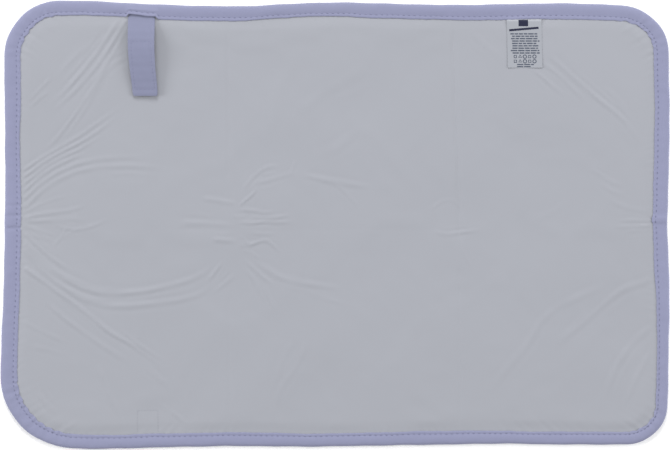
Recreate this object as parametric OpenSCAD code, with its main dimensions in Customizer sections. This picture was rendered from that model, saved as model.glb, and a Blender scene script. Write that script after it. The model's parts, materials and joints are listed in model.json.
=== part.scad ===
// Folding baby changing pad. A coated lining, soft wadding and a woven cover are held by a
// bias binding all round. It has a touch-tape strap, a loop patch and a care label.
// Units are millimetres. X runs along the length, Y across the width and Z up.
// The pad lies open and flat with its lining up, and its underside is at Z = 0.
// Each layer is cut into six panels at the fold lines, so that the panels can turn.

/* [Pad] */
// Length of the open pad along X
pad_length = 600; // [500:1:700]
// Width of the open pad along Y
pad_width = 400; // [300:1:500]
// Thickness of the padded middle, from the underside to the lining
pad_thick = 5; // [4.6:0.1:8]
// Thickness of the lining and of the cover
fabric_thick = 0.4; // [0.2:0.1:0.8]
// Thickness of the same fabrics where the binding squeezes them
pressed_thick = 0.3; // [0.2:0.1:0.4]
// Corner radius, back left
radius_back_left = 50; // [25:1:80]
// Corner radius, back right
radius_back_right = 44; // [25:1:80]
// Corner radius, front left
radius_front_left = 63; // [25:1:80]
// Corner radius, front right
radius_front_right = 38; // [25:1:80]

/* [Fold lines] */
// Position of the left fold line along X
fold_left_x = -97; // [-120:1:-80]
// Position of the right fold line along X
fold_right_x = 110; // [80:1:120]
// Free space left on each side of a fold line
fold_gap = 0.25; // [0.2:0.05:0.5]

/* [Binding] */
// Width of the binding seen from above
binding_width = 13; // [10:0.5:18]
// Thickness of one leg of the binding
binding_thick = 0.7; // [0.4:0.1:1]
// Height of the bound edge
edge_height = 4.4; // [4:0.1:6]
// Distance from the binding's inner edge to its stitching
stitch_back = 3; // [2:0.5:5]
// Thickness of the sewing thread
thread_thick = 0.5; // [0.3:0.1:0.8]
// Height of a thread above its fabric
thread_rise = 0.2; // [0.1:0.1:0.4]
// Distance of the binding's joined ends from the half fold
join_y = 3; // [2:0.5:20]
// Length of the turned-under end at the join
join_length = 5; // [4:0.5:10]
// Thickness of the turned-under end
join_thick = 0.4; // [0.2:0.1:0.5]

/* [Strap] */
// Position of the strap's middle along X
strap_x = -173; // [-200:1:-140]
// Width of the strap
strap_width = 25; // [20:1:30]
// Length of the strap's first stretch, from the root to the first bend
strap_root_length = 13.6; // [13.5:0.1:14]
// Length of the stretch that crosses the folded pad's edges
strap_middle_length = 31; // [30.8:0.1:31.5]
// Length of the stretch that grips the loop patch
strap_tip_length = 27.4; // [24:0.2:32]
// Thickness of the folded fabric sleeve
sleeve_thick = 1.2; // [0.8:0.1:1.2]
// Width of the tip's end, which tapers slightly
strap_end_width = 23; // [20:0.5:25]
// Width of the hook tape
hook_width = 20; // [16:1:25]
// Thickness of the hook tape
hook_thick = 1; // [0.8:0.1:1]
// Distance from the strap's root to the hook tape
hook_start = 20; // [16:0.5:26]
// Distance from the hook tape's far end to the strap's tip
hook_end = 7; // [4:0.5:12]

/* [Loop patch] */
// Position of the patch's middle along X
patch_x = -169; // [-185:1:-150]
// Width of the patch along X
patch_width = 21; // [18:1:30]
// Length of the patch along Y, from the binding
patch_length = 20.3; // [18:0.1:30]
// Thickness of the patch
patch_thick = 1; // [0.8:0.1:1.2]

/* [Care label] */
// Position of the label's middle along X
label_x = 171; // [150:1:200]
// Width of the label
label_width = 31.5; // [20:0.5:40]
// Free length of the label
label_length = 44.7; // [30:0.1:60]
// Thickness of the label
label_thick = 0.3; // [0.2:0.1:0.4]

/* [Hidden] */
LEFT = 0;
CENTRE = 1;
RIGHT = 2;
FRONT = 0;
BACK = 1;
arc_steps = 10;
half_length = pad_length / 2;
half_width = pad_width / 2;
// Distances in from the pad's outline
binding_wall = 0.8;
soft_edge = 0.4;
layer_edge = 1.0;
ring_outer = binding_width + 0.6;
ring_inner = ring_outer + 0.6;
thread_outer = binding_width - stitch_back - thread_thick / 2;
thread_inner = thread_outer + thread_thick;
// Heights of the pressed layers at the edge
lining_edge_z = edge_height - binding_thick - pressed_thick;
cover_edge_z = binding_thick + pressed_thick;
wadding_top = pad_thick - fabric_thick;
// Fold cells
cell_x = [[-half_length, fold_left_x - fold_gap],
          [fold_left_x + fold_gap, fold_right_x - fold_gap],
          [fold_right_x + fold_gap, half_length]];
cell_y = [[-half_width, -fold_gap], [fold_gap, half_width]];
// Strap, at rest on the lining
clear = 0.3;
bend_gap = 0.3;
root_y = half_width - binding_width;
tape_z = pad_thick + clear;
sleeve_z = tape_z + hook_thick;
strap_top = sleeve_z + sleeve_thick;
root_gap = 0.4;
bend_1_y = root_y - strap_root_length;
bend_2_y = bend_1_y - strap_middle_length;
tip_y = bend_2_y - strap_tip_length;
hook_root_y = root_y - hook_start;
hook_tip_y = tip_y + hook_end;
hook_stitch_in = 0.75;
tip_corner = 1.5;
// Strap's sewn end, under the binding
sewn_depth = 9;
sewn_z = lining_edge_z + pressed_thick - 1.3;
riser_width = 1.3;
riser_top = tape_z + 0.6;
sewn_room = 0.1;
// Loop patch pocket
patch_y = -half_width + ring_inner + 0.1;
pocket_wall = 0.6;
// Care label
label_z = pad_thick + clear;
label_y = half_width - ring_outer - 0.2;
label_riser = [half_width - ring_outer + 0.05, half_width - binding_width - 0.05];
label_sewn = 8;

// The sub-part to draw, or all of them

// Points of one rounded corner, a quarter turn from the angle given
function corner(x, y, r, start) =
    [for (i = [0 : arc_steps]) let (a = start + 90 * i / arc_steps) [x + r * cos(a), y + r * sin(a)]];

// The pad's outline, moved in by a distance
function outline(inset) = concat(
    corner(half_length - radius_back_right, half_width - radius_back_right,
           radius_back_right - inset, 0),
    corner(radius_back_left - half_length, half_width - radius_back_left,
           radius_back_left - inset, 90),
    corner(radius_front_left - half_length, radius_front_left - half_width,
           radius_front_left - inset, 180),
    corner(half_length - radius_front_right, radius_front_right - half_width,
           radius_front_right - inset, 270));

// The rectangle of one fold cell
module cell_square(col, row) {
    translate([cell_x[col][0], cell_y[row][0]])
        square([cell_x[col][1] - cell_x[col][0], cell_y[row][1] - cell_y[row][0]]);
}

// A slab of one cell between two heights, from an inset to the middle of the pad
module slab(col, row, inset, z0, z1) {
    translate([0, 0, z0])
        linear_extrude(z1 - z0)
            intersection() {
                polygon(outline(inset));
                cell_square(col, row);
            }
}

// A strip of one cell between two insets and two heights
module strip(col, row, outer, inner, z0, z1) {
    translate([0, 0, z0])
        linear_extrude(z1 - z0)
            intersection() {
                difference() {
                    polygon(outline(outer));
                    polygon(outline(inner));
                }
                cell_square(col, row);
            }
}

// A box from its low corner to its high corner
module box(low, high) {
    translate(low)
        cube([high[0] - low[0], high[1] - low[1], high[2] - low[2]]);
}

// Room in the pressed layers for the strap's sewn end
module strap_room() {
    box([strap_x - strap_width / 2 - sewn_room, root_y - riser_width - 2 * sewn_room, sewn_z],
        [strap_x + strap_width / 2 + sewn_room, root_y + sewn_depth + sewn_room, pad_thick + 1]);
}

// Room in the pressed lining for the label's sewn end
module label_room() {
    box([label_x - label_width / 2 - sewn_room, label_riser[0], lining_edge_z - 1],
        [label_x + label_width / 2 + sewn_room, root_y + label_sewn + sewn_room, pad_thick + 1]);
}

// The dished pocket around the loop patch, with its outer walls
module patch_pocket(grow, top) {
    box([patch_x - patch_width / 2 - grow, patch_y - (grow > 0 ? 0.1 : 0), 0],
        [patch_x + patch_width / 2 + grow, patch_y + patch_length + grow, top]);
}

module lining(col, row) {
    color([0.70, 0.71, 0.75])
        union() {
            slab(col, row, ring_outer, wadding_top, pad_thick);
            strip(col, row, ring_outer, ring_inner, lining_edge_z, pad_thick);
            strip(col, row, layer_edge, ring_inner, lining_edge_z, lining_edge_z + pressed_thick);
        }
}

module wadding(col, row) {
    color([0.95, 0.95, 0.93])
        union() {
            slab(col, row, ring_inner, fabric_thick, wadding_top);
            slab(col, row, layer_edge, cover_edge_z, lining_edge_z);
        }
}

module cover(col, row) {
    color([0.60, 0.61, 0.72])
        union() {
            slab(col, row, ring_outer, 0, fabric_thick);
            strip(col, row, ring_outer, ring_inner, 0, cover_edge_z);
            strip(col, row, layer_edge, ring_inner, binding_thick, cover_edge_z);
        }
}

module binding(col, row) {
    color([0.59, 0.60, 0.71])
        union() {
            strip(col, row, soft_edge, binding_width, 0, binding_thick);
            strip(col, row, 0, binding_wall, soft_edge, edge_height - soft_edge);
            strip(col, row, soft_edge, binding_width, edge_height - binding_thick, edge_height);
        }
}

module binding_thread(col, row) {
    color([0.50, 0.51, 0.62])
        strip(col, row, thread_outer, thread_inner, edge_height, edge_height + thread_rise);
}

// The turned-under end of the binding, as a plain block
module join_block() {
    box([half_length - binding_width, join_y, edge_height],
        [half_length - soft_edge, join_y + join_length, edge_height + join_thick]);
}

module lining_back_left() {
    difference() {
        lining(LEFT, BACK);
        strap_room();
    }
}

module lining_back_centre() {
    lining(CENTRE, BACK);
}

module lining_back_right() {
    difference() {
        lining(RIGHT, BACK);
        label_room();
    }
}

module lining_front_left() {
    lining(LEFT, FRONT);
}

module lining_front_centre() {
    lining(CENTRE, FRONT);
}

module lining_front_right() {
    lining(RIGHT, FRONT);
}

module wadding_back_left() {
    difference() {
        wadding(LEFT, BACK);
        strap_room();
    }
}

module wadding_back_centre() {
    wadding(CENTRE, BACK);
}

module wadding_back_right() {
    wadding(RIGHT, BACK);
}

module wadding_front_left() {
    difference() {
        wadding(LEFT, FRONT);
        patch_pocket(pocket_wall, patch_thick + fabric_thick);
    }
}

module wadding_front_centre() {
    wadding(CENTRE, FRONT);
}

module wadding_front_right() {
    wadding(RIGHT, FRONT);
}

module cover_back_left() {
    cover(LEFT, BACK);
}

module cover_back_centre() {
    cover(CENTRE, BACK);
}

module cover_back_right() {
    cover(RIGHT, BACK);
}

module cover_front_left() {
    difference() {
        union() {
            cover(LEFT, FRONT);
            color([0.60, 0.61, 0.72])
                patch_pocket(pocket_wall, patch_thick + fabric_thick);
        }
        patch_pocket(0, patch_thick);
    }
}

module cover_front_centre() {
    cover(CENTRE, FRONT);
}

module cover_front_right() {
    cover(RIGHT, FRONT);
}

module binding_back_left() {
    binding(LEFT, BACK);
}

module binding_back_centre() {
    binding(CENTRE, BACK);
}

module binding_back_right() {
    binding(RIGHT, BACK);
}

module binding_front_left() {
    binding(LEFT, FRONT);
}

module binding_front_centre() {
    binding(CENTRE, FRONT);
}

module binding_front_right() {
    binding(RIGHT, FRONT);
}

module binding_thread_back_left() {
    binding_thread(LEFT, BACK);
}

module binding_thread_back_centre() {
    binding_thread(CENTRE, BACK);
}

module binding_thread_back_right() {
    color([0.50, 0.51, 0.62])
        difference() {
            union() {
                binding_thread(RIGHT, BACK);
                box([half_length - thread_inner, join_y - thread_thick, edge_height],
                    [half_length - thread_outer, join_y + join_length + thread_thick,
                     edge_height + join_thick + thread_rise]);
            }
            join_block();
        }
}

module binding_thread_front_left() {
    binding_thread(LEFT, FRONT);
}

module binding_thread_front_centre() {
    binding_thread(CENTRE, FRONT);
}

module binding_thread_front_right() {
    binding_thread(RIGHT, FRONT);
}

module binding_join() {
    color([0.62, 0.63, 0.74])
        join_block();
}

module strap_sewn_end() {
    color([0.57, 0.59, 0.69])
        union() {
            box([strap_x - strap_width / 2, root_y - riser_width, sewn_z],
                [strap_x + strap_width / 2, root_y + sewn_depth, sewn_z + sleeve_thick]);
            box([strap_x - strap_width / 2, root_y - riser_width, sewn_z],
                [strap_x + strap_width / 2, root_y - sewn_room, riser_top]);
        }
}

module strap_sleeve_root() {
    color([0.57, 0.59, 0.69])
        box([strap_x - strap_width / 2, bend_1_y + bend_gap / 2, sleeve_z],
            [strap_x + strap_width / 2, root_y - root_gap, strap_top]);
}

module strap_sleeve_middle() {
    color([0.57, 0.59, 0.69])
        box([strap_x - strap_width / 2, bend_2_y + bend_gap / 2, sleeve_z],
            [strap_x + strap_width / 2, bend_1_y - bend_gap / 2, strap_top]);
}

module strap_sleeve_tip() {
    color([0.57, 0.59, 0.69])
        translate([strap_x, 0, sleeve_z])
            linear_extrude(sleeve_thick)
                polygon([[-strap_width / 2, bend_2_y - bend_gap / 2],
                         [-strap_end_width / 2, tip_y + tip_corner],
                         [-strap_end_width / 2 + tip_corner, tip_y],
                         [strap_end_width / 2 - tip_corner, tip_y],
                         [strap_end_width / 2, tip_y + tip_corner],
                         [strap_width / 2, bend_2_y - bend_gap / 2]]);
}

module hook_tape_middle() {
    color([0.55, 0.56, 0.66])
        box([strap_x - hook_width / 2, bend_2_y + bend_gap / 2, tape_z],
            [strap_x + hook_width / 2, hook_root_y, sleeve_z]);
}

module hook_tape_tip() {
    color([0.55, 0.56, 0.66])
        box([strap_x - hook_width / 2, hook_tip_y, tape_z],
            [strap_x + hook_width / 2, bend_2_y - bend_gap / 2, sleeve_z]);
}

module strap_thread_middle() {
    color([0.48, 0.49, 0.60])
        difference() {
            box([strap_x - hook_width / 2 + hook_stitch_in, bend_2_y + bend_gap / 2, strap_top],
                [strap_x + hook_width / 2 - hook_stitch_in, hook_root_y - hook_stitch_in,
                 strap_top + thread_rise]);
            box([strap_x - hook_width / 2 + hook_stitch_in + thread_thick, bend_2_y, sleeve_z],
                [strap_x + hook_width / 2 - hook_stitch_in - thread_thick,
                 hook_root_y - hook_stitch_in - thread_thick, strap_top + 1]);
        }
}

module strap_thread_tip() {
    color([0.48, 0.49, 0.60])
        difference() {
            box([strap_x - hook_width / 2 + hook_stitch_in, hook_tip_y + hook_stitch_in, strap_top],
                [strap_x + hook_width / 2 - hook_stitch_in, bend_2_y - bend_gap / 2,
                 strap_top + thread_rise]);
            box([strap_x - hook_width / 2 + hook_stitch_in + thread_thick,
                 hook_tip_y + hook_stitch_in + thread_thick, sleeve_z],
                [strap_x + hook_width / 2 - hook_stitch_in - thread_thick, bend_2_y, strap_top + 1]);
        }
}

module loop_patch() {
    color([0.62, 0.63, 0.72])
        patch_pocket(0, patch_thick);
}

module loop_patch_thread() {
    color([0.62, 0.63, 0.68])
        difference() {
            box([patch_x - patch_width / 2 + hook_stitch_in, patch_y + hook_stitch_in, pad_thick],
                [patch_x + patch_width / 2 - hook_stitch_in, patch_y + patch_length - hook_stitch_in,
                 pad_thick + thread_rise]);
            box([patch_x - patch_width / 2 + hook_stitch_in + thread_thick,
                 patch_y + hook_stitch_in + thread_thick, wadding_top],
                [patch_x + patch_width / 2 - hook_stitch_in - thread_thick,
                 patch_y + patch_length - hook_stitch_in - thread_thick, pad_thick + 1]);
        }
}

module care_label_sewn_end() {
    color([0.75, 0.76, 0.79])
        union() {
            box([label_x - label_width / 2, label_riser[0], lining_edge_z],
                [label_x + label_width / 2, root_y + label_sewn, lining_edge_z + label_thick]);
            box([label_x - label_width / 2, label_riser[0], lining_edge_z],
                [label_x + label_width / 2, label_riser[1], pad_thick]);
        }
}

module care_label() {
    color([0.78, 0.79, 0.82])
        box([label_x - label_width / 2, label_y - label_length, label_z],
            [label_x + label_width / 2, label_y, label_z + label_thick]);
}

lining_back_left();
lining_back_centre();
lining_back_right();
lining_front_left();
lining_front_centre();
lining_front_right();
wadding_back_left();
wadding_back_centre();
wadding_back_right();
wadding_front_left();
wadding_front_centre();
wadding_front_right();
cover_back_left();
cover_back_centre();
cover_back_right();
cover_front_left();
cover_front_centre();
cover_front_right();
binding_back_left();
binding_back_centre();
binding_back_right();
binding_front_left();
binding_front_centre();
binding_front_right();
binding_thread_back_left();
binding_thread_back_centre();
binding_thread_back_right();
binding_thread_front_left();
binding_thread_front_centre();
binding_thread_front_right();
binding_join();
strap_sewn_end();
strap_sleeve_root();
strap_sleeve_middle();
strap_sleeve_tip();
hook_tape_middle();
hook_tape_tip();
strap_thread_middle();
strap_thread_tip();
loop_patch();
loop_patch_thread();
care_label_sewn_end();
care_label();
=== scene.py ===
"""The changing pad's looks, in the CAD's frame. Lengths are in millimetres until a mesh is made."""

import json
import math

import bpy
import numpy as np
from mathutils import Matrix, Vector


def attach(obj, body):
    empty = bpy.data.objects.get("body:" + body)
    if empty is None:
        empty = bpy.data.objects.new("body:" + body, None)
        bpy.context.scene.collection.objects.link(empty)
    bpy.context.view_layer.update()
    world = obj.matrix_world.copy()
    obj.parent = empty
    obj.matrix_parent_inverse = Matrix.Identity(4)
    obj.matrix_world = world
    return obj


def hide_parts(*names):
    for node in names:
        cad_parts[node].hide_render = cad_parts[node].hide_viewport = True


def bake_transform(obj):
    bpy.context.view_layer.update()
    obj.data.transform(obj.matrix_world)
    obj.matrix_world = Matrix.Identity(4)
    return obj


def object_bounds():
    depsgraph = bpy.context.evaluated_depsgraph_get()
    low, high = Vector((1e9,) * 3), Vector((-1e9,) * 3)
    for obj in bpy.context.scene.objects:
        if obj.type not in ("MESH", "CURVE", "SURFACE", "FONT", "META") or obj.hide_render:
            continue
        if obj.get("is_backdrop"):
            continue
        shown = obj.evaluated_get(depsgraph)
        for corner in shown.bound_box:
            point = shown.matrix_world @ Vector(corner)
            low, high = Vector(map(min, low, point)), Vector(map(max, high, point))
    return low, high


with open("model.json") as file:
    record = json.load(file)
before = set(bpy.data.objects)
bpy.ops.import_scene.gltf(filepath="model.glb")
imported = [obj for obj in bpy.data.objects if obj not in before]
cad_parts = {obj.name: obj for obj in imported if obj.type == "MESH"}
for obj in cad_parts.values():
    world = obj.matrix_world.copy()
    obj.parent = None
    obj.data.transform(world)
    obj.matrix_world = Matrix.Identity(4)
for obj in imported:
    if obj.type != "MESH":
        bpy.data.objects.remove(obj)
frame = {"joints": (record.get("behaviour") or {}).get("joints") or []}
cad_low, cad_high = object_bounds()

MM = 0.001
HALF_X, HALF_Y = (round(v / MM, 1) for v in cad_high[:2])
HINGE = {j["name"]: [round(v / MM, 2) for v in j["pos_m"]] for j in frame["joints"]}
HINGE_Z = HINGE["half_fold"][2]
# Each end fold's place along X, by its side, and how far the cloth bends on both sides of it.
FOLDS = {-1: (HINGE["left_fold"][0], 12.0), 1: (HINGE["right_fold"][0], 7.0)}
# The outline's corner radii, by the signs of x and y.
RADII = {(-1, 1): 50.0, (1, 1): 44.0, (-1, -1): 63.0, (1, -1): 38.0}
# Each quarter's name, the signs of its x and y, and the bodies that carry its middle and its end.
QUADS = [
    (f"{row}_{side}", sx, sy, f"{row}_centre", f"{row}_{side}")
    for row, sy in (("back", 1), ("front", -1))
    for side, sx in (("left", -1), ("right", 1))
]
scene = bpy.context.scene


def smooth(t):
    t = np.clip(t, 0, 1)
    return t * t * (3 - 2 * t)


def between(v, low, high, soft):
    """1 between low and high, and 0 outside, softly."""
    return smooth((v - low) / soft) * smooth((high - v) / soft)


def unit(v):
    return v / np.maximum(np.linalg.norm(v, axis=-1, keepdims=True), 1e-12)


# ---------------------------------------------------------------- outline
def eased(points, width):
    """A smooth function through about these (place, value) points."""
    p = np.array(points, float)
    xs = np.linspace(p[0, 0] - 3 * width, p[-1, 0] + 3 * width, 900)
    ys = np.interp(xs, p[:, 0], p[:, 1])
    k = np.exp(-(((np.arange(-200, 201) * (xs[1] - xs[0])) / width) ** 2))
    ys = np.convolve(np.pad(ys, 200, mode="edge"), k / k.sum(), mode="valid")
    return lambda v: np.interp(v, xs, ys)


# How far each edge of the real outline lies from the plain rounded rectangle.
left_edge = eased([
    (-150, -1.2), (-139, -1.9), (-103, -0.8), (-67, 0.7), (-31, 1.7), (5, 2.3), (50, 2.6), (68, 2.2),
    (104, 2.4), (150, 1.5),
], 12)
right_edge = eased([
    (-157, -1.0), (-139, -0.4), (-67, 0.6), (-31, -0.2), (0, -1.3), (9, -1.4), (23, -0.6), (104, 0.9),
    (140, 0.0),
], 9)
top_edge = eased([
    (-250, 2.2), (-230, 2.8), (-203, 1.4), (-167, -0.7), (-122, -2.3), (-77, -2.4), (-32, 0.2), (13, 1.2),
    (58, -0.5), (103, -1.5), (148, -0.6), (193, 0.2), (238, -0.4), (262, -2.0),
], 14)
bottom_edge = eased([
    (-250, 0.5), (-230, -1.1), (-203, -1.2), (-150, 0.6), (-100, 1.5), (-70, 1.3), (-32, 0.9), (30, 1.6),
    (75, 2.6), (110, 3.0), (148, 3.7), (193, 3.0), (238, 2.8),
], 13)
# How much wider than its usual 13 mm the binding shows along each side.
left_width = eased([
    (-150, 2.2), (-130, 2.0), (-100, 1.5), (-60, 1.8), (-20, 1.9), (0, 1.5), (20, 1.6), (40, 1.4),
    (60, 0.8), (80, 0.5), (105, 1.4), (140, 2.0),
], 9)
right_width = eased([
    (-150, -2.4), (-105, -2.3), (-80, -1.7), (-55, -0.8), (-35, 0.2), (60, 0.4), (140, 0.4),
], 10)
top_width = eased([
    (-240, 0.2), (-180, -0.3), (-150, 0.9), (-80, 0.7), (-60, -0.6), (0, -0.6), (30, 0.6), (90, 0.4),
    (120, 1.2), (240, 1.5),
], 9)
bottom_width = eased([
    (-240, 0.0), (-190, -0.6), (-60, -0.5), (-40, -1.1), (30, -1.2), (70, -0.4), (120, -0.6), (145, -1.3),
    (240, -1.3),
], 9)


def warp(x, y):
    """The real pad's slightly wavy place of a point of the plain rounded rectangle."""
    near = lambda d: np.exp(-((np.maximum(d, 0) / 48.0) ** 2))
    dx = left_edge(y) * near(x + HALF_X) + right_edge(y) * near(HALF_X - x)
    dy = top_edge(x) * near(HALF_Y - y) + bottom_edge(x) * near(y + HALF_Y)
    return x + dx, y + dy


def corner_radius(x, y):
    """The radius of the corner nearest each point."""
    left, right = (np.where(y < 0, RADII[sx, -1], RADII[sx, 1]) for sx in (-1, 1))
    return np.where(x < 0, left, right)


def inset_of(x, y):
    """How far inside the plain outline a point lies, and the direction inwards."""
    sx, sy, r = np.where(x < 0, -1.0, 1.0), np.where(y < 0, -1.0, 1.0), corner_radius(x, y)
    qx, qy = np.abs(x) - (HALF_X - r), np.abs(y) - (HALF_Y - r)
    ox, oy = np.maximum(qx, 0), np.maximum(qy, 0)
    d = np.hypot(ox, oy)
    inside = r - d - np.minimum(np.maximum(qx, qy), 0)
    corner = (qx > 0) & (qy > 0)
    nx = np.where(corner, ox / np.maximum(d, 1e-9), np.where(qx > qy, 1.0, 0.0))
    ny = np.where(corner, oy / np.maximum(d, 1e-9), np.where(qx > qy, 0.0, 1.0))
    return inside, -nx * sx, -ny * sy


def rim(sx, sy, s):
    """Points and outward normals of the plain outline of one quarter, s along it from x = 0."""
    r = RADII[sx, sy]
    a, b = HALF_X - r, math.pi / 2 * r
    t = np.clip((s - a) / r, 0, math.pi / 2)
    x = np.where(s < a, s, a + r * np.sin(t))
    y = np.where(s < a, HALF_Y, HALF_Y - r + r * np.cos(t))
    y = np.where(s > a + b, HALF_Y - r - (s - a - b), y)
    return x * sx, y * sy, np.sin(t) * sx, np.cos(t) * sy


# Each quarter's share of the rim, and how far round the rim from the middle of the back it begins.
LENGTH = {q: (HALF_X - r) + math.pi / 2 * r + (HALF_Y - r) for q, r in RADII.items()}
ROUND = sum(LENGTH.values())
LEFT_MIDDLE = LENGTH[1, 1] + LENGTH[1, -1] + LENGTH[-1, -1]
START = {(1, 1): 0, (1, -1): LENGTH[1, 1], (-1, -1): LENGTH[1, 1] + LENGTH[1, -1], (-1, 1): LEFT_MIDDLE}


def along(sx, sy, s):
    """One coordinate round the whole rim, so that folds and stitches run on across the quarters."""
    return START[sx, sy] + (s if sx * sy > 0 else LENGTH[sx, sy] - s)


def ripple(g, waves, seed):
    """A sum of whole waves round the rim, about -1 to 1."""
    rng = np.random.default_rng(seed)
    out, total = 0.0, 0.0
    for k in waves:
        a = rng.uniform(0.5, 1.0)
        out = out + a * np.sin(2 * math.pi * k * g / ROUND + rng.uniform(0, 6.28))
        total += a * a
    return out / math.sqrt(total) / 1.4


def swells(x, y, seed, count, high, short, long):
    """Slow waves in all directions, from short to long."""
    rng = np.random.default_rng(seed)
    z = 0 * x
    for _ in range(count):
        a, k = rng.uniform(0, math.pi), 2 * math.pi / rng.uniform(short, long)
        z = z + high * np.sin(k * (x * math.cos(a) + y * math.sin(a)) + rng.uniform(0, 6.28))
    return z


def at_corner(sx, sy, s):
    """1 on a quarter's rounded corner, 0 on its straight sides."""
    r = RADII[sx, sy]
    a, b = HALF_X - r, math.pi / 2 * r
    return smooth((s - a + 12) / 24) * (1 - smooth((s - a - b + 12) / 24))


# ---------------------------------------------------------------- wrinkles
RIDGE_HEIGHT, RIDGE_WIDTH = 0.46, 0.74
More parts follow.
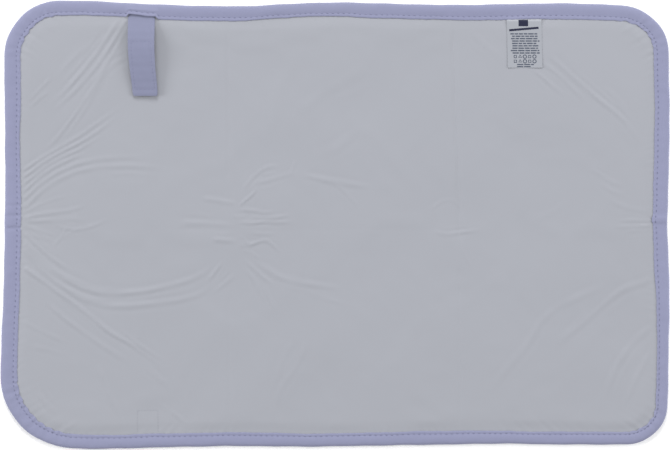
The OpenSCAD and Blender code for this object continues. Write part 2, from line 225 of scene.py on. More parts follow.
# (path, height, width): ridges of the lining, strongest in the middle of the path.
RIDGES = [
    # the long fan that runs down from the strap
    ([(-194, 186), (-204, 171), (-214, 156), (-225, 142), (-237, 128), (-250, 115),
      (-263, 106)], 0.95, 2.7),
    ([(-190, 184), (-201, 164), (-212, 147), (-224, 133), (-236, 120), (-250, 108),
      (-261, 100)], 0.85, 2.7),
    ([(-197, 160), (-209, 140), (-219, 122), (-229, 107), (-240, 93), (-251, 79), (-263, 68),
      (-274, 60)], 0.75, 2.6),
    ([(-203, 146), (-213, 127), (-222, 111), (-231, 97), (-241, 84), (-252, 73)], 0.55, 2.5),
    ([(-186, 152), (-198, 147), (-208, 137), (-216, 125)], 0.4, 2.8),
    ([(-221, 166), (-233, 153), (-244, 142), (-254, 131)], 0.45, 2.8),
    ([(-256, 133), (-267, 123), (-279, 111)], 0.5, 2.1),
    ([(-258, 121), (-267, 115), (-278, 105)], 0.45, 2.1),
    ([(-210, 177), (-222, 160), (-232, 150)], 0.35, 2.8),
    # the bundle of arcs from the left edge up to the strap's tip
    ([(-281, 51), (-262, 63), (-246, 72), (-230, 81), (-213, 93), (-197, 104), (-187, 111)], 0.7, 2.3),
    ([(-281, 45), (-264, 57), (-248, 66), (-231, 74), (-215, 84), (-201, 95), (-190, 103)], 0.9, 2.3),
    ([(-281, 39), (-264, 52), (-250, 60), (-234, 67), (-217, 77), (-205, 86)], 0.7, 2.2),
    ([(-281, 32), (-268, 44), (-253, 54), (-237, 61), (-223, 66)], 0.7, 2.1),
    ([(-281, 25), (-268, 37), (-253, 47), (-235, 55), (-216, 60), (-194, 62), (-166, 62)], 0.75, 2.6),
    ([(-281, 17), (-268, 30), (-252, 41), (-234, 49), (-212, 53), (-185, 54), (-158, 52),
      (-143, 48)], 0.7, 2.8),
    ([(-206, 46), (-185, 47), (-160, 44)], 0.3, 2.6),
    # the short fan in the middle of the left edge
    ([(-282, 7), (-262, 11), (-244, 13), (-230, 16), (-222, 20)], 0.85, 2.0),
    ([(-282, 3), (-260, 5), (-237, 6), (-218, 4)], 0.6, 2.1),
    ([(-282, 0), (-266, -5), (-251, -10)], 0.6, 2.0),
    ([(-260, 3), (-248, -2), (-232, -4), (-217, 0), (-200, 8)], 0.55, 2.0),
    ([(-276, -3), (-262, -10), (-254, -16)], 0.5, 1.9),
    ([(-248, -13), (-239, -6), (-226, -1)], 0.35, 2.0),
    ([(-282, 12), (-268, 19), (-250, 25), (-236, 27)], 0.4, 2.0),
    ([(-281, 6), (-262, 3.5), (-246, 2.2), (-236, 2)], 0.35, 2.0),
    ([(-255, -20), (-246, -8), (-238, 3)], 0.35, 2.2),
    ([(-282, -7), (-270, -10), (-257, -14)], 0.35, 2.0),
    # arcs of the lower left
    ([(-280, -9), (-265, -22), (-251, -33), (-235, -42)], 0.8, 2.2),
    ([(-281, -14), (-266, -29), (-250, -42), (-230, -51), (-213, -56)], 0.75, 2.3),
    ([(-281, -18), (-264, -35), (-248, -46), (-230, -55), (-212, -60), (-194, -61), (-171, -59),
      (-149, -54), (-131, -49), (-117, -42), (-106, -33), (-98, -25)], 1.0, 3.0),
    ([(-281, -23), (-264, -40), (-246, -55), (-226, -66), (-203, -72), (-185, -72), (-162, -70),
      (-140, -67), (-122, -62), (-109, -52), (-100, -40)], 0.9, 3.0),
    ([(-280, -39), (-262, -51), (-248, -61), (-233, -72), (-218, -84), (-202, -97), (-188, -104),
      (-175, -113), (-161, -123), (-151, -132)], 1.35, 2.4),
    ([(-266, -64), (-248, -80), (-232, -92), (-214, -105), (-197, -116), (-181, -125)], 0.8, 2.9),
    ([(-196, -93), (-180, -105), (-167, -114), (-153, -123)], 0.7, 2.4),
    ([(-214, -125), (-208, -139), (-203, -153), (-196, -168), (-192, -176)], 0.55, 3.2),
    ([(-160, -160), (-147, -168), (-138, -175), (-132, -182)], 0.55, 2.6),
    ([(-268, -150), (-259, -162), (-249, -171)], 0.5, 3.2),
    ([(-279, -88), (-262, -96), (-240, -106)], 0.4, 2.6),
    ([(-276, -108), (-256, -112), (-238, -118)], 0.3, 3.0),
    ([(-170, -128), (-160, -137), (-149, -146)], 0.35, 3.4),
    # the pucker where the two folds cross
    ([(-122, 24), (-108, 23), (-97, 21), (-87, 19)], 1.0, 2.5),
    ([(-88, 17), (-81, 23), (-74, 28), (-70, 35)], 0.8, 1.7),
    ([(-86, 15), (-75, 14), (-64, 11), (-51, 13)], 0.9, 1.8),
    ([(-78, 8), (-66, 7), (-54, 7), (-38, 10)], 0.85, 1.9),
    ([(-91, 2.6), (-77, 2.2), (-66, 3.6), (-54, 2.8), (-34, 3.4)], 0.9, 1.9),
    ([(-144, 3), (-118, 2), (-102, 1), (-88, -1)], 0.8, 3.2),
    ([(-112, -12), (-99, -13), (-87, -15)], 0.8, 2.7),
    ([(-89, -14), (-77, -17), (-70, -15), (-63, -12), (-56, -17), (-48, -26)], 1.0, 1.9),
    ([(-84, -22), (-75, -25), (-66, -31)], 0.6, 1.8),
    ([(-83, -30), (-73, -39), (-63, -48), (-53, -56)], 0.85, 2.1),
    ([(-76, -6), (-66, -8), (-52, -7)], 0.5, 1.7),
    ([(-94, 9), (-86, 7), (-78, 9)], 0.5, 1.6),
    ([(-90, 14.5), (-79, 13), (-70, 14)], 0.7, 1.5),
    ([(-88, 3.6), (-78, 1.8), (-68, 2.6), (-60, 3.6)], 0.6, 1.5),
    ([(-87, -9), (-80, -13), (-78, -16)], 0.45, 1.5),
    ([(-88, -17), (-79, -20), (-70, -15)], 0.65, 1.6),
    ([(-101, -32), (-109, -42), (-117, -52)], 0.6, 2.5),
    ([(-90, -44), (-100, -52), (-111, -61)], 0.55, 2.6),
    # ridges above it
    ([(-32, 46), (-18, 43), (-1, 39), (15, 37), (37, 34)], 0.8, 2.9),
    ([(-85, 29), (-77, 41), (-69, 49), (-59, 54), (-47, 52)], 0.65, 2.6),
    ([(-75, 38), (-63, 40), (-50, 44), (-39, 47), (-30, 46)], 0.5, 2.7),
    ([(-2, 38), (8, 31), (15, 24), (21, 15)], 0.5, 2.2),
    ([(-36, 58), (-40, 50), (-38, 44)], 0.35, 2.0),
    # ridges below it
    ([(-76, -31), (-64, -38), (-52, -46), (-37, -51), (-21, -53), (-7, -55), (11, -58)], 0.75, 3.2),
    ([(-81, -38), (-72, -51), (-66, -63), (-62, -73)], 0.6, 2.4),
    ([(-66, -53), (-59, -65), (-53, -78)], 0.5, 2.6),
    ([(-28, -60), (-8, -66), (14, -72)], 0.3, 3.0),
    # faint arcs of the middle
    ([(-22, -97), (-32, -121), (-50, -148), (-60, -180)], 0.4, 4.0),
    ([(-36, -100), (-50, -126), (-56, -150)], 0.3, 3.6),
    ([(32, 144), (-9, 122), (-42, 94)], 0.3, 6.0),
    ([(24, 90), (2, 70), (-26, 60)], 0.25, 5.0),
    # round the label
    ([(189, 156), (199, 147), (211, 136), (224, 125), (236, 114), (249, 104), (261, 93), (270, 81),
      (277, 69)], 0.95, 2.8),
    ([(184, 149), (195, 140), (206, 131), (216, 121), (228, 110)], 0.75, 2.6),
    ([(176, 142), (185, 135), (195, 126), (208, 115)], 0.65, 2.6),
    ([(241, 126), (252, 115), (260, 104), (266, 92)], 0.4, 2.8),
    ([(121, 177), (130, 167), (142, 157), (150, 147)], 0.3, 3.4),
    # the right edge, where the binding's ends are joined
    ([(286, 4), (270, 5), (254, 4)], 0.7, 2.0),
    ([(286, 0), (268, -1), (250, -1)], 0.75, 2.0),
    ([(286, -4), (268, -5), (260, -6)], 0.5, 1.9),
    ([(286, 12), (262, 16), (244, 24)], 0.4, 2.8),
    ([(228, 52), (240, 45), (251, 38), (264, 35)], 0.4, 2.4),
    ([(238, 38), (250, 30), (262, 28)], 0.3, 2.2),
    ([(178, 4), (196, 12), (212, 24)], 0.25, 3.2),
    # lower right
    ([(281, -50), (258, -57), (242, -70), (224, -86), (207, -100), (190, -115)], 0.6, 3.6),
    ([(250, -52), (229, -60), (213, -67), (198, -74), (184, -87), (173, -107), (157, -126), (143, -144),
      (127, -160)], 0.5, 4.2),
    ([(280, -94), (265, -108), (252, -128), (245, -148), (240, -168)], 0.5, 3.6),
    ([(282, -117), (272, -135), (265, -153), (257, -169)], 0.5, 3.2),
    # small folds across the right crease
    ([(84, 13), (96, 22), (106, 24), (116, 12)], 0.35, 2.0),
    ([(86, -5), (100, -8), (112, -6), (134, -4)], 0.7, 1.9),
    ([(112, -18), (117, -28), (122, -38)], 0.3, 2.0),
]
# (path, depth, width): sharp lines left by folding.
CREASES = [
    ([(105, 180), (106, 130), (107.6, 95), (109.4, 59), (110.3, 23), (110.3, 0), (113, -18)], 0.6, 1.1),
    ([(110, -34), (111, -100), (111, -186)], 0.22, 1.3),
    ([(-98, 186), (-97, 110), (-97, 40)], 0.2, 1.4),
    ([(-97, -60), (-96, -130), (-97, -186)], 0.18, 1.4),
    ([(-170, -4), (-60, -5), (40, -4), (112, -5)], 0.05, 1.6),
]


def curve(path):
    """A smooth line through a path's points, about 2 mm apart."""
    p = np.array(path, float)
    d = np.concatenate([[0], np.cumsum(np.hypot(*np.diff(p, axis=0).T))])
    t = np.linspace(0, d[-1], max(3, int(d[-1] / 2)))
    q = np.stack([np.interp(t, d, p[:, 0]), np.interp(t, d, p[:, 1])], 1)
    for _ in range(6 if len(p) > 2 else 0):
        q[1:-1] = (q[:-2] + 2 * q[1:-1] + q[2:]) / 4
    return q


def strokes(x, y, paths, profile, taper):
    """Adds up the strokes over the points x, y."""
    z = np.zeros_like(x)
    for path, high, wide in paths:
        q = curve(path)
        reach = 5.5 * wide
        near = (
            (x > q[:, 0].min() - reach) & (x < q[:, 0].max() + reach)
            & (y > q[:, 1].min() - reach) & (y < q[:, 1].max() + reach)
        )
        px, py = x[near], y[near]
        best, at, side = np.full(px.shape, 1e9), np.zeros(px.shape), np.zeros(px.shape)
        n = len(q) - 1
        for i in range(n):
            ax, ay = q[i]
            dx, dy = q[i + 1] - q[i]
            t = np.clip(((px - ax) * dx + (py - ay) * dy) / (dx * dx + dy * dy), 0, 1)
            ex, ey = px - ax - t * dx, py - ay - t * dy
            d = np.hypot(ex, ey)
            m = d < best
            best[m], at[m] = d[m], (i + t[m]) / n
            side[m] = np.sign(dx * ey - dy * ex)[m]
        z[near] += high * profile(best / wide, side) * taper(at, q)
    return z


def ridge_profile(d, side):
    """A soft ridge with a shallow valley on each side."""
    return np.exp(-d * d) - 0.36 * np.exp(-((d - 1.7) ** 2) * 1.3)


def crease_profile(d, side):
    """A groove with one steep wall and one gentle one."""
    return -np.exp(-((d * np.where(side > 0, 0.42, 1.5)) ** 2))


def ridge_taper(t, q):
    """Strong where the ridge leaves the binding, fading and changing along its way."""
    at_rim = float(inset_of(*q[0])[0]) < 22
    length = 2.0 * len(q)
    beat = 1 + 0.22 * np.sin(t * length / 9.0 + q[0, 0]) + 0.12 * np.sin(t * length / 4.1 + q[0, 1])
    return smooth(t / 0.22 + (0.75 if at_rim else 0.0)) * smooth((1 - t) / 0.38) * beat


def crease_taper(t, q):
    return smooth(t / 0.08) * smooth((1 - t) / 0.08)


def with_companions(paths):
    """Each ridge, and two slighter ones beside it."""
    rng = np.random.default_rng(21)
    out = []
    for path, high, wide in paths:
        high, wide_now = RIDGE_HEIGHT * high, RIDGE_WIDTH * wide
        out.append((path, high, wide_now))
        q = curve(path)
        way = unit(np.gradient(q, axis=0))
        across = np.stack([-way[:, 1], way[:, 0]], 1)
        for sign in (-1, 1):
            off = sign * wide * rng.uniform(1.1, 2.1)
            sway = off * (1 + 0.25 * np.sin(np.linspace(0, rng.uniform(2, 6), len(q)) + rng.uniform(0, 6)))
            a, b = int(len(q) * rng.uniform(0, 0.2)), int(len(q) * rng.uniform(0.6, 1.0))
            if b - a > 5:
                beside = (q + across * sway[:, None])[a:b]
                out.append((beside, high * rng.uniform(0.12, 0.35), wide_now * rng.uniform(0.6, 0.9)))
    return out


def wrinkles(x, y):
    z = strokes(x, y, with_companions(RIDGES), ridge_profile, ridge_taper)
    z += strokes(x, y, CREASES, crease_profile, crease_taper)
    return z + swells(x, y, 5, 12, 0.06, 60, 170)


def cell(i, j):
    """The four grid places round one cell."""
    return [(i, j), (i + 1, j), (i + 1, j + 1), (i, j + 1)]


def settled_cloth():
    """A loose sheet held round its rim, left to settle on uneven wadding: its places and
    heights."""
    frames = 32
    xs, ys = np.linspace(-288, 288, 73), np.linspace(-188, 188, 48)
    gx, gy = np.meshgrid(xs, ys, indexing="ij")
    n = len(ys)
    quads = [[a * n + b for a, b in cell(i, j)] for i in range(len(xs) - 1) for j in range(n - 1)]

    def loose(name, *places):
        me = bpy.data.meshes.new(name)
        me.from_pydata((np.stack(places, -1).reshape(-1, 3) * MM).tolist(), [], quads)
        o = bpy.data.objects.new(name, me)
        scene.collection.objects.link(o)
        o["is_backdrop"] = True
        return o

    cloth = loose("settling", gx, gy, 3.0 + 0 * gx)
    bed = loose("bed", gx * 1.05, gy * 1.05, swells(gx, gy, 8, 9, 0.25, 70, 200))
    held = cloth.vertex_groups.new(name="rim")
    edge = (np.abs(gx) > 287) | (np.abs(gy) > 187)
    held.add([int(i) for i in np.flatnonzero(edge.reshape(-1))], 1.0, "REPLACE")
    bed.modifiers.new("Collision", "COLLISION")
    bed.collision.thickness_outer = 0.001
    bed.collision.cloth_friction = 8
    m = cloth.modifiers.new("Cloth", "CLOTH")
    m.settings.quality = 6
    m.settings.mass = 0.12
    m.settings.tension_stiffness = m.settings.compression_stiffness = 12
    m.settings.shear_stiffness = 6
    m.settings.bending_stiffness = 0.3
    m.settings.air_damping = 2
    m.settings.shrink_min = -0.004
    m.settings.vertex_group_mass = held.name
    m.collision_settings.distance_min = 0.001
    m.point_cache.frame_start, m.point_cache.frame_end = 1, frames
    for f in range(1, frames + 1):
        scene.frame_set(f)
    bpy.context.view_layer.objects.active = cloth
    bpy.ops.object.modifier_apply(modifier=m.name)
    p = np.empty(len(cloth.data.vertices) * 3, np.float32)
    cloth.data.vertices.foreach_get("co", p)
    z = p.reshape(len(xs), n, 3)[..., 2].astype(float) / MM
    scene.frame_set(1)
    for o in (cloth, bed):
        bpy.data.objects.remove(o)
    return xs, ys, z - np.median(z)


SETTLED = settled_cloth()


def spline_weights(t):
    """The shares of four neighbours in a cubic B-spline."""
    return (1 - t) ** 3 / 6, (3 * t**3 - 6 * t**2 + 4) / 6, (-3 * t**3 + 3 * t**2 + 3 * t + 1) / 6, t**3 / 6


def settled_z(x, y):
    """The settled sheet's height at plain places, softly limited."""
    if SETTLED is None:
        return 0 * x
    xs, ys, z = SETTLED
    u = np.clip((x - xs[0]) / (xs[1] - xs[0]), 0, len(xs) - 1.001)
    v = np.clip((y - ys[0]) / (ys[1] - ys[0]), 0, len(ys) - 1.001)
    i, j = u.astype(int), v.astype(int)
    pad = np.pad(z, 1, mode="edge")
    out = 0.0
    for a, wa in enumerate(spline_weights(u - i)):
        for b, wb in enumerate(spline_weights(v - j)):
            out = out + wa * wb * pad[i + a, j + b]
    return 0.30 * np.tanh(out / 0.9)


# The sewn line round three sides of the loop patch, seen through the lining: left, right, front and back.
PATCH = (-178.2, -159.8, -188.0, -166.2)


def patch_dip(x, y):
    """The groove that the patch's stitches pull into the lining, and its slightly raised middle."""
    x0, x1, y0, y1 = PATCH
    dx, dy = np.maximum(np.maximum(x0 - x, x - x1), 0), np.maximum(y - y1, 0)
    out = np.hypot(dx, dy)
    inside = np.minimum(np.minimum(x - x0, x1 - x), y1 - y)
    line = np.where(out > 0, out, np.abs(inside))
    return -0.02 * np.exp(-((line / 1.2) ** 2)) + 0.045 * smooth(inside / 2.5) * (inside > 0)


def pulled(x, y, inset):
    """Small gathers of the lining where it runs under the binding."""
    g = np.arctan2(y / HALF_Y, x / HALF_X) / (2 * math.pi) * ROUND
    r = corner_radius(x, y)
    corner = smooth((np.abs(x) - (HALF_X - r) + 10) / 20) * smooth((np.abs(y) - (HALF_Y - r) + 10) / 20)
    fade = np.exp(-((inset - 12) / (9 + 9 * corner)) ** 2)
    folds = ripple(g, (151, 187, 223, 262, 301), 3) * (1 + 0.8 * ripple(g, (11, 19, 29), 13))
    return fade * (0.07 + 0.10 * corner) * folds


def lining_z(x, y):
    inset = inset_of(x, y)[0]
    z = 3.95 + 1.0 * smooth((inset - 11.5) / 12)
    z = z + wrinkles(x, y) * smooth((inset - 12.5) / 7)
    z = z + settled_z(x, y) * smooth((inset - 12.5) / 10)
    z = z + patch_dip(x, y) * smooth((inset - 10) / 4)
    return z + pulled(x, y, inset)


def cover_z(x, y):
    inset = inset_of(x, y)[0]
    z = swells(x, y, 9, 10, 0.06, 45, 120)
    # drawn in round the loop patch
    patch = between(x, -188, -150, 6) * smooth((-157 - y) / 6)
    z = z * smooth((np.abs(y) - 5) / 18) * (1 - patch)
    return 0.25 + z + 0.55 * np.maximum(1 - smooth((inset - 10) / 8), patch)


# ---------------------------------------------------------------- meshes
def mesh_of(name, points, faces, normals, material):
    """An object from points in millimetres, shaded smooth with the normals given."""
    me = bpy.data.meshes.new(name)
    me.from_pydata((np.asarray(points) * MM).tolist(), [], [tuple(int(i) for i in f) for f in faces])
    me.update()
    me.polygons.foreach_set("use_smooth", [True] * len(me.polygons))
    if normals is not None:
        me.normals_split_custom_set_from_vertices(unit(np.asarray(normals, float)).tolist())
    me.materials.append(material)
    o = bpy.data.objects.new(name, me)
    scene.collection.objects.link(o)
    return o


def grid_normals(p):
    """Unit normals of a grid of points, +Z up for a grid that runs along X and then Y."""
    return unit(np.cross(np.gradient(p, axis=0), np.gradient(p, axis=1)))


def places(half, step, fine=None):
    """Grid places from -half to half with 0 among them, closer together across the end folds if asked."""
    n = int(round(half / step))
    out = np.linspace(-half, half, 2 * n + 1)
    for at, reach in FOLDS.values() if fine else ():
        reach += 2.0
        near = np.linspace(at - reach, at + reach, int(2 * reach / fine) + 1)
        out = np.concatenate([out[(out < near[0] - 0.5 * fine) | (out > near[-1] + 0.5 * fine)], near])
    return np.sort(out)


def sheet_grid(xs, ys, step, height):
    """A whole sheet as a grid in the row frame: plain and real places, normals and which points count."""
    gx, gy = np.meshgrid(xs, ys, indexing="ij")
    inset, ix, iy = inset_of(gx, gy)
    used = inset > SHEET_EDGE - 1.2 * step
    push = np.clip(SHEET_EDGE - inset, 0, 1.5 * step)
    x, y = gx + ix * push, gy + iy * push
    p = np.stack([*warp(x, y), height(x, y)], -1)
    return gx, gy, p, grid_normals(p), used, inset > SHEET_EDGE - 0.01


def rolled(row, normal, sy, k, lift, shrink, soon):
    """A row of points and its normals, turned k times 15 degrees about the half fold and drawn in."""
    t = math.radians(15 * k)
    sin, cos = math.sin(t), math.cos(t)
    r = (row[:, 2] - HINGE_Z) * (1 - shrink * min(1, k / soon))
    a, b, c = normal.T
    points = np.stack([row[:, 0], row[:, 1] - sy * r * sin, HINGE_Z + lift * sin + r * cos], -1)
    return points, np.stack([a, b * cos - sy * c * sin, c * cos + sy * b * sin], -1)


def quarter(name, grid, sx, sy, material, flip=False, nose=False):
    """One quarter of a sheet. Its nose is a rounded edge at the half fold, hidden while the pad is open."""
    gx, gy, p, normal, used, core = grid
    nx, ny = gx.shape[0] - 1, gx.shape[1] - 1
    mid_i, mid_j = int(np.argmin(np.abs(gx[:, 0]))), int(np.argmin(np.abs(gy[0])))
    i0, i1 = (0, mid_i) if sx < 0 else (mid_i, nx)
    j0, j1 = (0, mid_j) if sy < 0 else (mid_j, ny)
    index, points, normals, faces = {}, [], [], []

    def vertex(i, j):
        if (i, j) not in index:
            index[i, j] = len(points)
            points.append(p[i, j])
            normals.append(-normal[i, j] if flip else normal[i, j])
        return index[i, j]

    for i in range(i0, i1):
        for j in range(j0, j1):
            four = cell(i, j)
            if all(used[c] for c in four) and any(core[c] for c in four):
                f = [vertex(*c) for c in four]
                faces.append(f[::-1] if flip else f)
    if nose:
        row = [i for i in range(i0, i1 + 1) if (i, mid_j) in index]
        last = [index[i, mid_j] for i in row]
        for k in range(1, 7):
            new = range(len(points), len(points) + len(row))
            more, more_normals = rolled(p[row, mid_j], normal[row, mid_j], sy, k, 0.6, 0.09, 1.5)
            points.extend(more)
            normals.extend(more_normals)
            for a in range(len(row) - 1):
                f = [last[a], last[a + 1], new[a + 1], new[a]]
                faces.append(f[::-1] if sy > 0 else f)
            last = new
    return mesh_of(name, points, faces, normals, material)


def loft(name, rows, normals, material, cap0=False, cap1=False):
    """Rows of closed profiles joined into a skin."""
    m, n = rows.shape[:2]
    faces = []
    for i in range(m - 1):
        for j in range(n):
            k = (j + 1) % n
            faces.append((i * n + j, i * n + k, (i + 1) * n + k, (i + 1) * n + j))
    if cap0:
        faces.append(tuple(range(n))[::-1])
    if cap1:
        faces.append(tuple((m - 1) * n + j for j in range(n)))
    return mesh_of(name, rows.reshape(-1, 3), faces, normals.reshape(-1, 3), material)


def loft_normals(rows, sign):
    """Normals of a closed skin; the first and last rows are only neighbours, and are left off."""
    ds = rows[2:] - rows[:-2]
    dp = np.roll(rows, -1, axis=1) - np.roll(rows, 1, axis=1)
    return unit(np.cross(dp[1:-1], ds) * sign)


def stitches(name, centres, ways, up, length, radius, material, sink=0.3):
    """Short threads that dip into the cloth at both ends, as one mesh. Up is 1 or -1."""
    d = unit(np.asarray(ways, float))
    u = np.tile([0.0, 0.0, up], (len(d), 1))
    u = unit(u - (u * d).sum(1, keepdims=True) * d)
    w = np.cross(d, u)
    # place along the thread, thickness and depth
    half = [(0.0, 1.0, 0.0), (0.4, 1.05, 0.08), (0.82, 0.9, 0.5), (1.0, 0.55, 1.0)]
    rings = [(-t, fat, low) for t, fat, low in half[:0:-1]] + half
    sides = 6
    points, normals = [], []
    for t, fat, low in rings:
        mid = centres + d * (t * length / 2) - u * (sink * low)
        for k in range(sides):
            a = 2 * math.pi * k / sides
            out = w * math.cos(a) + u * math.sin(a)
            points.append(mid + out * radius * fat)
            normals.append(out)
    m = len(rings) * sides
    points, normals = (np.stack(v, 1).reshape(-1, 3) for v in (points, normals))
    one = []
    for r in range(0, m - sides, sides):
        for k in range(sides):
            beside = (k + 1) % sides
            one.append((r + k, r + sides + k, r + sides + beside, r + beside))
    one += [tuple(range(sides)), tuple(range(m - 1, m - sides - 1, -1))]
    faces = [tuple(i * m + v for v in f) for i in range(len(d)) for f in one]
    return mesh_of(name, points, faces, normals, material)


# ---------------------------------------------------------------- materials
def material(name, colour, rough, sheen=0.0, spec=0.3):
    m = bpy.data.materials.new(name)
    m.use_nodes = True
    b = m.node_tree.nodes["Principled BSDF"].inputs
    b["Base Color"].default_value = (*colour, 1)
    b["Roughness"].default_value = rough
    b["Specular IOR Level"].default_value = spec
    b["Sheen Weight"].default_value = sheen
    b["Sheen Roughness"].default_value = 0.5
    return m


def add(m, kind, **values):
    n = m.node_tree.nodes.new(kind)
    for k, v in values.items():
        if k in n.inputs:
            n.inputs[k].default_value = v
        else:
            setattr(n, k, v)
    return n


def maths(m, op, a, b):
    """The output of a maths node on two outputs or numbers."""
    n = add(m, "ShaderNodeMath", operation=op)
    for socket, v in zip(n.inputs, (a, b)):
        if isinstance(v, bpy.types.NodeSocket):
            m.node_tree.links.new(v, socket)
        else:
            socket.default_value = v
    return n.outputs[0]


def cloth(name, colour, rough, patchy, grain, broad, depth, angle=0.0, fuzz=0.0, **finish):
    """A cloth: fine fibres as bump, slow patches, and a broad change of tone over the given metres."""
    m = material(name, colour, rough, **finish)
    link = m.node_tree.links.new
    surface = m.node_tree.nodes["Principled BSDF"].inputs
    where = add(m, "ShaderNodeTexCoord").outputs["Object"]

    def noise(scale, detail):
        n = add(m, "ShaderNodeTexNoise", Scale=scale, Detail=detail)
        link(where, n.inputs["Vector"])
        return n.outputs[0]

    bump = add(m, "ShaderNodeBump", Strength=depth, Distance=grain * MM)
    link(maths(m, "MULTIPLY", noise(2600.0, 2.0), 0.7 + fuzz), bump.inputs["Height"])
    link(bump.outputs["Normal"], surface["Normal"])
    turn = add(m, "ShaderNodeMapping", Rotation=(0, 0, angle))
    split = add(m, "ShaderNodeSeparateXYZ")
    link(where, turn.inputs["Vector"])
    link(turn.outputs["Vector"], split.inputs["Vector"])
    waves = [maths(m, "MULTIPLY", split.outputs[c], 2 * math.pi / broad) for c in "XY"]
    wave = maths(m, "MULTIPLY", *(maths(m, "SINE", w, 0.0) for w in waves))
    patches = maths(m, "MULTIPLY", noise(9.0, 3.0), patchy)
    tone = maths(m, "ADD", maths(m, "ADD", patches, maths(m, "MULTIPLY", wave, 0.014)), 1 - patchy * 0.5)
    grey = add(m, "ShaderNodeCombineColor")
    for c in ("Red", "Green", "Blue"):
        link(tone, grey.inputs[c])
    paint = add(m, "ShaderNodeMix", data_type="RGBA", blend_type="MULTIPLY")
    paint.inputs["Factor"].default_value = 1.0
    paint.inputs[6].default_value = (*colour, 1)
    link(grey.outputs[0], paint.inputs[7])
    link(paint.outputs[2], surface["Base Color"])
    return m


LAVENDER = (0.226, 0.235, 0.350)
# name, colour, roughness, patchiness, grain, broad tone and strength of the bump
lining_mat = cloth("lining_cloth", (0.306, 0.316, 0.351), 0.6, 0.035, 0.04, 3.7, 0.25, sheen=0.05, spec=0.22)
cover_mat = cloth("cover_cloth", LAVENDER, 0.85, 0.05, 0.12, 0.9, 0.6, sheen=0.15, spec=0.2)
binding_mat = cloth("binding_cloth", LAVENDER, 0.8, 0.06, 0.10, 0.8, 0.6, angle=0.785, sheen=0.18, spec=0.22)
strap_mat = cloth("strap_cloth", (0.192, 0.203, 0.298), 0.78, 0.06, 0.10, 0.8, 0.6, sheen=0.2, spec=0.25)
thread_mat = cloth("sewing_thread", (0.140, 0.146, 0.240), 0.6, 0.1, 0.05, 0.5, 0.5, angle=0.6, sheen=0.2)
pale_thread_mat = cloth("pale_thread", (0.215, 0.222, 0.262), 0.6, 0.1, 0.05, 0.5, 0.5, angle=0.6, sheen=0.2)
hook_mat = cloth("hook_tape", (0.24, 0.25, 0.37), 0.7, 0.06, 0.5, 1.3, 1.0, angle=0.2, spec=0.35)
loop_mat = cloth("loop_pile", (0.30, 0.31, 0.43), 0.95, 0.12, 0.6, 1.1, 1.0, fuzz=1.2, sheen=0.5, spec=0.1)
label_mat = cloth("label_satin", (0.295, 0.308, 0.342), 0.45, 0.03, 0.03, 0.5, 0.3, sheen=0.1, spec=0.4)
print_mat = cloth("label_print", (0.070, 0.082, 0.115), 0.7, 0.25, 0.03, 0.5, 0.3, spec=0.2)
dark_print_mat = cloth("label_print_dark", (0.016, 0.018, 0.042), 0.7, 0.2, 0.03, 0.5, 0.3, spec=0.2)
WADDING = (0.85, 0.85, 0.83)
wadding_mat = cloth("wadding_fibre", WADDING, 0.95, 0.1, 0.8, 2.5, 1.0, fuzz=1.5, sheen=0.4, spec=0.1)


def bend(o):
    """Bakes the piece's placement into its mesh."""
    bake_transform(o)


def panels(kind, name):
    """The CAD nodes that a quarter stands for: its end panel, and on the left the middle panel too."""
    row, side = name.split("_")
    return [f"{kind}_{name}"] + ([f"{kind}_{row}_centre"] if side == "left" else [])


# ---------------------------------------------------------------- the layers
SHEET_EDGE = 5.0
sheets = [
    ("lining", sheet_grid(places(HALF_X, 1.5), places(HALF_Y, 1.5), 1.5, lining_z), lining_mat),
    ("cover", sheet_grid(places(HALF_X, 5.0, 1.2), places(HALF_Y, 5.0), 5.0, cover_z), cover_mat),
]
for name, sx, sy, middle, end in QUADS:
    for kind, grid, cloth_mat in sheets:
        o = quarter(f"{kind}.{name}", grid, sx, sy, cloth_mat, flip=kind == "cover", nose=kind == "lining")
        bend(o)
        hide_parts(*panels(kind, name))


def wadding_quarter(name, sx, sy):
    """A closed slab of wadding between the lining and the cover."""
    step, edge = 6.0, 3.0
    xs, ys = places(HALF_X, step, 1.6), places(HALF_Y, step)
    xs, ys = np.sort(xs[xs * sx > -0.01] * sx) * sx, np.sort(ys[ys * sy > -0.01] * sy) * sy
    gx, gy = np.meshgrid(xs, ys, indexing="ij")
    gy = np.where(np.abs(gy) < 0.1, 0.3 * sy, gy)
    inset, ix, iy = inset_of(gx, gy)
    push = np.clip(edge - inset, 0, None)
    used = inset > edge - 1.1 * step
    x, y = warp(gx + ix * push, gy + iy * push)
    flat = smooth((inset - 12) / 12)
    # thinner where the pad folds
    fold = np.maximum(*(1 - smooth((np.abs(gx - at) - reach - 1) / 6) for at, reach in FOLDS.values()))
    top, low = 3.2 + (0.9 - 0.4 * fold) * flat, 1.3 - (0.5 - 0.45 * fold) * flat
    index, points, faces = {}, [], []

    def vertex(i, j, up):
        if (i, j, up) not in index:
            index[i, j, up] = len(points)
            points.append((x[i, j], y[i, j], (top if up else low)[i, j]))
        return index[i, j, up]

    kept = set()
    for i in range(len(xs) - 1):
        for j in range(len(ys) - 1):
            four = cell(i, j)
            if all(used[c] for c in four) and any(inset[c] > edge for c in four):
                kept.add((i, j))
    right_hand = sx * sy > 0
    for i, j in sorted(kept):
        up, down = ([vertex(*c, face) for c in cell(i, j)] for face in (True, False))
        faces += [up, down[::-1]] if right_hand else [up[::-1], down]
        for a, beside in enumerate(((i, j - 1), (i + 1, j), (i, j + 1), (i - 1, j))):
            if beside not in kept:
                b = (a + 1) % 4
                f = [down[a], down[b], up[b], up[a]]
                faces.append(f if right_hand else f[::-1])
    return mesh_of(name, points, faces, None, wadding_mat)


